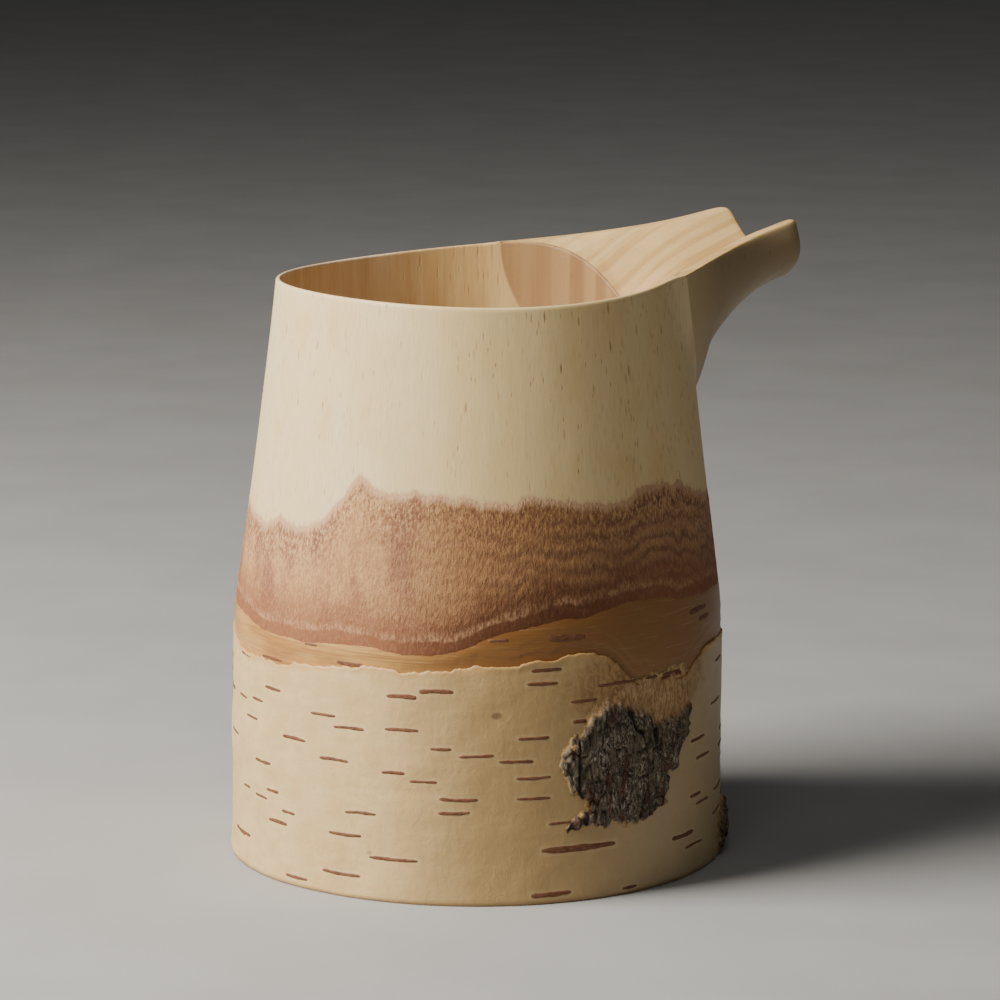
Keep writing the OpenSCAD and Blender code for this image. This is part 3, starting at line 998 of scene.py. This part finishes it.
def inner_bark_material():
    s = Surface("inner_bark", 0.66, 0.2)
    above = s.stored("above_cork")
    below = s.stored("below_wood")
    grain = s.noise((0.75, 0.75, 1.5), 3.0, 0.6, 0.3)
    zones = s.noise((13, 13, 30), 4, 0.6)
    # wavy growth lines that follow the edge of the wood, stronger towards the right of the front
    wander = s.times(s.noise((15, 15, 22), 3, 0.55), 17.0)
    phase = s.plus(s.times(below, 1.3), wander)
    lines = s.maths("SINE", phase)
    on_shaded_side = towards_shaded_side(s, 0.15)
    tan, dusky, rusty_shade = (0.5, 0.27, 0.115), (0.28, 0.125, 0.07), (0.34, 0.185, 0.105)
    s.colour = s.mix(s.ramp(zones, 0.4, 0.62), tan, dusky)
    # painted shade: rustier and darker round towards the front of the spout
    s.paint(s.times(on_shaded_side, 0.75), rusty_shade)
    # painted shade: darker along the middle of the front
    s.paint(s.times(mid_front_shade(s), 0.7), (0.215, 0.098, 0.038))
    patchy = s.times(on_shaded_side, s.ramp(s.noise((18, 18, 6), 2), 0.35, 0.6, 0.25, 1.0))
    dark_lines = s.times(s.ramp(lines, 0.1, 0.95), patchy)
    pale_lines = s.times(s.ramp(lines, -0.95, -0.2, 1.0, 0.0), patchy)
    s.paint(s.times(dark_lines, 0.7), (0.18, 0.085, 0.046))
    s.paint(s.times(pale_lines, 0.35), tan)
    # deeper and redder towards the cork, and darker still at the middle of the front, which is painted
    # shade
    ragged = s.plus(above, s.times(s.noise((11, 11, 9), 3), 10.0))
    redder_and_shaded = s.mix(mid_front_shade(s), (0.235, 0.088, 0.042), (0.09, 0.028, 0.012))
    s.paint(s.ramp(ragged, 7.0, 24.0, 0.9, 0.0), redder_and_shaded)
    # grains: pale tops and dark gaps, larger near the wood
    pale_grain = s.ramp(grain, 0.5, 0.6, 0.0, 0.75)
    dark_grain = s.ramp(grain, 0.38, 0.49, 0.75, 0.0)
    upper = s.ramp(below, 2.0, 17.0, 1.0, 0.3)
    upper = s.times(upper, s.ramp(above, 4.0, 12.0, 0.45, 1.0))
    # painted shade: the pale grain tops are darker along the middle of the front
    grain_top = s.mix(mid_front_shade(s), (0.6, 0.365, 0.175), (0.39, 0.225, 0.085))
    s.paint(s.times(pale_grain, upper), grain_top)
    s.paint(s.times(dark_grain, upper), (0.19, 0.08, 0.042))
    # one faint pale line a few millimetres above the cork
    wander = s.times(s.minus(s.noise((16, 16, 16), 2), 0.5), 5.0)
    from_cork = s.plus(above, wander)
    line = s.times(s.ramp(from_cork, 3.2, 4.2), s.ramp(from_cork, 4.4, 7.0, 1.0, 0.0))
    broken = s.ramp(s.noise((9, 9, 9), 2), 0.3, 0.55, 0.35, 1.0)
    speckled = s.times(s.times(line, broken), s.ramp(grain, 0.4, 0.6, 0.1, 0.5))
    s.paint(speckled, (0.55, 0.33, 0.17))
    # a soft fringe next to the wood
    soft = s.plus(below, s.times(s.noise((0.8, 0.8, 2.6), 2), -2.0))
    s.paint(s.ramp(soft, -0.8, 1.6, 0.85, 0.0), FRINGE)
    calm = s.ramp(above, 1.0, 8.0, 0.3, 1.0)
    normal = s.bump(s.times(grain, calm), 0.45, 0.8)
    return s.finish(normal)


def cork_material():
    s = Surface("brown_cork", 0.42, 0.45)
    lines = s.noise((18, 18, 0.42), 3, 0.65, 0.3)
    broad = s.noise((22, 22, 5), 3)
    s.colour = s.mix(s.ramp(broad, 0.35, 0.7), (0.52, 0.29, 0.085), (0.37, 0.175, 0.045))
    # painted shade: darker round towards the front of the spout
    s.paint(towards_shaded_side(s, 0.0), (0.265, 0.132, 0.042))
    # painted shade: darker along the middle of the front
    s.paint(s.times(mid_front_shade(s), 0.8), (0.21, 0.088, 0.018))
    s.paint(s.ramp(lines, 0.45, 0.68, 0.0, 0.65), (0.27, 0.11, 0.028))
    s.paint(s.ramp(lines, 0.25, 0.42, 0.35, 0.0), (0.68, 0.47, 0.23))
    return s.finish(s.bump(lines, 0.1, 0.7))


def white_bark_material():
    s = Surface("white_bark", 0.46, 0.4)
    mottle = s.noise((11, 11, 9), 4, 0.6)
    fibres = s.noise((9, 9, 0.5), 3, 0.65)
    creases = s.noise((3.2, 3.2, 4.4), 5, 0.65, 1.6)
    grit = s.noise((0.5, 0.5, 0.5), 2, 0.6)
    s.colour = s.mix(s.ramp(mottle, 0.32, 0.72), (0.68, 0.485, 0.225), (0.6, 0.405, 0.175))
    # painted shade: darker round towards the front of the spout
    s.paint(s.times(towards_shaded_side(s, 0.0), 0.85), (0.43, 0.325, 0.185))
    # painted shade: darker along the middle of the front
    s.paint(s.times(mid_front_shade(s), 0.8), (0.42, 0.27, 0.105))
    s.paint(s.ramp(fibres, 0.5, 0.85, 0.0, 0.25), (0.5, 0.34, 0.16))
    s.paint(s.ramp(creases, 0.54, 0.72, 0.0, 0.35), (0.5, 0.33, 0.14))
    s.paint(s.ramp(grit, 0.66, 0.82, 0.0, 0.25), (0.42, 0.28, 0.15))
    stains = s.ramp(s.noise((15, 15, 8), 4, 0.6), 0.58, 0.8, 0.0, 0.45)
    s.paint(stains, (0.5, 0.3, 0.12))
    # paler round each lenticel
    halo = s.ramp(s.stored("near_lenticel"), 0.15, 0.9, 0.0, 0.12)
    s.paint(halo, (0.8, 0.65, 0.4))
    # brown shows through next to the peeled edge, and the foot is rubbed
    below = s.plus(s.stored("below_peel"), s.times(s.noise((7, 7, 4), 3), -3.4))
    s.paint(s.ramp(below, -1.4, 0.6, 0.7, 0.0), (0.56, 0.33, 0.12))
    # the stain round the top of the front rough patch
    from_patch = s.vector("MULTIPLY", s.vector("SUBTRACT", s.place, STAIN_PLACE), STAIN_SCALE)
    stain_reach = s.plus(s.length(from_patch), s.times(s.noise((5, 5, 4), 4, 0.6), 0.8))
    stain = s.ramp(stain_reach, 1.15, 1.95, 0.92, 0.0)
    stain_colour = s.mix(s.ramp(creases, 0.4, 0.62), (0.23, 0.1, 0.03), (0.42, 0.25, 0.09))
    s.paint(stain, stain_colour)
    foot = s.plus(s.z, s.times(s.noise((6, 6, 6), 2), -0.0012))
    s.paint(s.ramp(foot, -0.0002, 0.0012, 0.6, 0.0), (0.36, 0.22, 0.1))
    freckles = flecks(s, (9, 9, 6), 13.0, 0.06)
    dot = s.ramp(freckles, 0.55, 0.95, 0.0, 0.7)
    s.paint(dot, (0.14, 0.08, 0.04))
    normal = s.bump(fibres, 0.06, 0.5)
    normal = s.bump(creases, 0.25, 0.6, normal)
    normal = s.bump(mottle, 0.35, 0.5, normal)
    return s.finish(normal)


def lenticel_material():
    s = Surface("lenticel", 0.6, 0.3)
    grain = s.noise((1.6, 1.6, 0.5), 3, 0.6)
    s.colour = s.mix(s.ramp(grain, 0.35, 0.7), (0.205, 0.085, 0.04), (0.11, 0.044, 0.022))
    return s.finish(s.bump(grain, 0.2, 0.8))


def rough_bark_material():
    s = Surface("rough_bark", 0.8, 0.25)
    fissure = s.stored("fissure")
    gold = s.stored("gold")
    crumbled = s.stored("crumbled")
    crust = s.noise((1.2, 1.2, 4.2), 4, 0.7, 0.9)
    crumbs = s.noise((0.6, 0.6, 1.2), 3, 0.7, 0.5)
    tints = s.noise((3.2, 3.2, 14), 3, 0.6)
    grey_areas = s.noise((8, 8, 9), 3, 0.6)
    dark = s.mix(s.ramp(crust, 0.38, 0.62), (0.024, 0.018, 0.013), (0.19, 0.15, 0.105))
    flecked = s.times(s.ramp(crumbs, 0.5, 0.62), s.ramp(grey_areas, 0.4, 0.64, 0.08, 0.8))
    dark = s.mix(flecked, dark, (0.5, 0.435, 0.335))
    dark = s.mix(s.ramp(tints, 0.54, 0.64, 0.0, 0.75), dark, (0.105, 0.03, 0.016))
    dark = s.mix(s.ramp(tints, 0.32, 0.44, 0.45, 0.0), dark, (0.135, 0.12, 0.055))
    dark = s.mix(s.ramp(fissure, 0.1, 0.7, 0.9, 0.0), dark, (0.012, 0.009, 0.007))
    golden = s.mix(s.ramp(crust, 0.36, 0.62), (0.33, 0.18, 0.075), (0.56, 0.37, 0.185))
    golden = s.mix(s.ramp(crumbs, 0.54, 0.7, 0.0, 0.5), golden, (0.7, 0.54, 0.33))
    golden = s.mix(s.ramp(grey_areas, 0.56, 0.72, 0.0, 0.6), golden, (0.28, 0.13, 0.055))
    s.colour = s.mix(gold, dark, golden)
    rim = s.mix(s.ramp(crust, 0.36, 0.62), (0.33, 0.18, 0.07), (0.62, 0.44, 0.21))
    s.paint(s.ramp(crumbled, 0.0, 0.8, 1.0, 0.0), rim)
    normal = s.bump(crust, 0.8, 0.9)
    normal = s.bump(crumbs, 0.45, 0.9, normal)
    return s.finish(normal)


def floor_material():
    s = Surface("pale_floor", 0.75, 0.2)
    cloud = s.noise((60, 60, 60), 3)
    s.colour = s.mix(s.ramp(cloud, 0.3, 0.7), (0.37, 0.367, 0.362), (0.345, 0.342, 0.337))
    return s.finish()


# ---------------- the object

PIECES = [
    (build_wall(), wall_material()),
    (build_spout(), spout_material()),
    (build_bottom(), bottom_material()),
    (build_inner_bark(), inner_bark_material()),
    (build_cork_layer(), cork_material()),
    (build_white_bark(), white_bark_material()),
    (build_lenticels(), lenticel_material()),
    (rough_patch("rough_patch_front", FRONT_PATCH_ANGLE, FRONT_PATCH, FRONT_GOLD, 2.0, 2.0),
     rough_bark_material()),
    (rough_patch("rough_patch_side", SIDE_PATCH_ANGLE, SIDE_PATCH, SIDE_GOLD, 2.3, 6.0),
     rough_bark_material()),
]
for piece, material in PIECES:
    piece.data.materials.append(material)

# ---------------- floor, lights and camera

FLOOR_HALF = 9.0


def build_floor():
    mesh = bpy.data.meshes.new("floor")
    corners = [(x * FLOOR_HALF, y * FLOOR_HALF, 0) for x, y in ((-1, -1), (1, -1), (1, 1), (-1, 1))]
    mesh.from_pydata(corners, [], [(0, 1, 2, 3)])
    floor = new_object("floor", mesh)
    floor.data.materials.append(floor_material())


def aim(thing, place, target):
    thing.location = place
    direction = Vector(target) - Vector(place)
    thing.rotation_euler = direction.to_track_quat("-Z", "Y").to_euler()


def area_light(name, place, side, power, colour):
    data = bpy.data.lights.new(name, "AREA")
    data.shape = "SQUARE"
    data.size = side
    data.energy = power
    data.color = colour
    aim(new_object(name, data), place, LIT_POINT)


CAMERA_AZIMUTH = math.radians(-32.07)
CAMERA_ELEVATION = math.radians(10.97)
CAMERA_DISTANCE = 1.4527
CAMERA_TARGET = Vector((0, 0, 0.095))
CAMERA_LENS = 172.27
CAMERA_SHIFT = (0.0195, 0.0385)


def direction_from(azimuth, elevation):
    """The way from the object to a lamp or camera at this azimuth and elevation."""
    return Vector((math.sin(azimuth) * math.cos(elevation), -math.cos(azimuth) * math.cos(elevation),
                   math.sin(elevation)))


def build_camera():
    data = bpy.data.cameras.new("camera")
    data.lens = CAMERA_LENS
    data.shift_x, data.shift_y = CAMERA_SHIFT
    camera = new_object("camera", data)
    place = CAMERA_TARGET + direction_from(CAMERA_AZIMUTH, CAMERA_ELEVATION) * CAMERA_DISTANCE
    aim(camera, place, CAMERA_TARGET)
    bpy.context.scene.camera = camera


LIT_POINT = (0, 0, 0.09)
SOFT_WHITE = (1.0, 0.98, 0.95)
# Name, degrees round from the camera, degrees up, metres away, side of the square, watts and colour
LIGHTS = [
    ("key", -71, 42, 1.3, 0.70, 46.0, (1.0, 0.955, 0.885)),
    ("fill", 50, 30, 2.4, 2.0, 1.2, SOFT_WHITE),
]

build_floor()
for name, azimuth, elevation, distance, side, power, colour in LIGHTS:
    direction = direction_from(CAMERA_AZIMUTH + math.radians(azimuth), math.radians(elevation))
    area_light(name, direction * distance, side, power, colour)
area_light("top", (-0.45, -0.75, 1.8), 0.9, 3.5, SOFT_WHITE)
world = bpy.data.worlds.new("studio")
world.use_nodes = True
background = world.node_tree.nodes["Background"]
background.inputs["Color"].default_value = (0.80, 0.82, 0.85, 1.0)
background.inputs["Strength"].default_value = 0.05
bpy.context.scene.world = world
build_camera()
